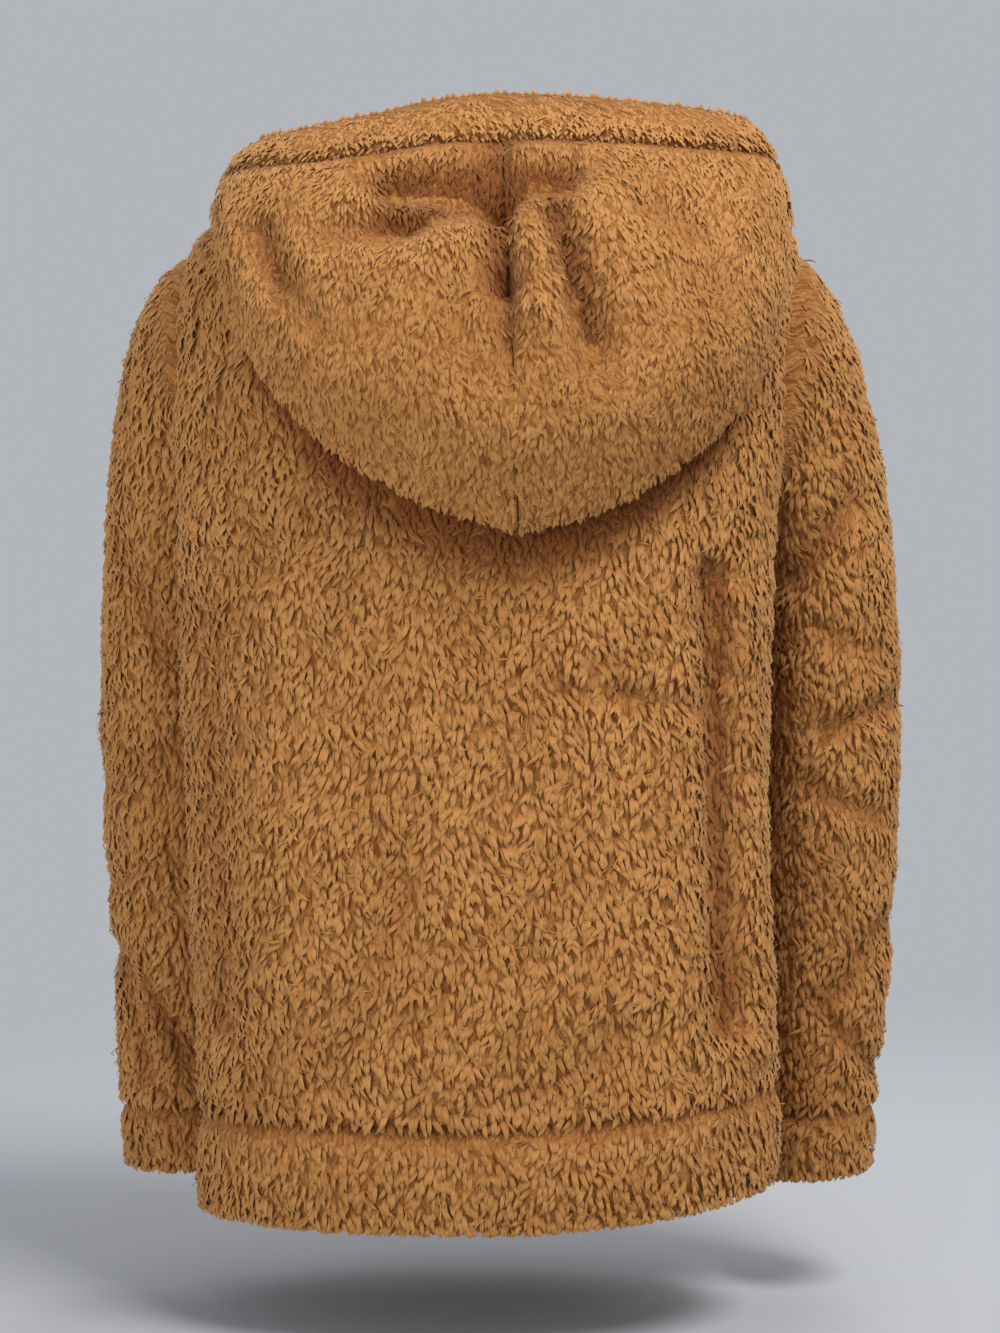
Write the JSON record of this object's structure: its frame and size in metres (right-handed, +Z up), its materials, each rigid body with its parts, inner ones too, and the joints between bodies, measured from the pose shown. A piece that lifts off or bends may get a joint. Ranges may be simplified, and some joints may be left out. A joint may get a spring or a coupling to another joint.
{
  "type": "sherpa zip-up hoodie",
  "caption": "Brown deep-pile fleece hoodie with a front zip, hood lying down on the back, long sleeves and a turned hem band, in its worn hollow shape.",
  "frame": {"origin": "middle of the neck opening, at the height of the high shoulder points", "axes": "+Z up out of the neck, the front faces -Y, the wearer's left is +X"},
  "size_m": [0.5469, 0.3401, 0.7156],
  "materials": {
    "sherpa": "deep pile fleece",
    "zip_tape": "woven",
    "zip_metal": "antique"
  },
  "bodies": {
    "garment": {"back_panel": "sherpa", "front_left": "sherpa", "front_right": "sherpa", "hem_band": "sherpa", "sleeve_left": "sherpa", "sleeve_right": "sherpa", "cuff_left": "sherpa", "cuff_right": "sherpa", "hood_left": "sherpa", "hood_right": "sherpa", "hood_edge": "sherpa", "zip_tape_left": "zip_tape", "zip_tape_right": "zip_tape", "zip_slider": "zip_metal", "zip_box": "zip_metal"},
    "pull": {"zip_pull": "zip_metal"}
  },
  "joints": [
    {"name": "zip_pull_turn", "type": "hinge", "parent": "garment", "child": "pull", "pos_m": [0, -0.1009, -0.09817], "axis": [-1, 0, 0], "range_deg": [0, 165]}
  ]
}
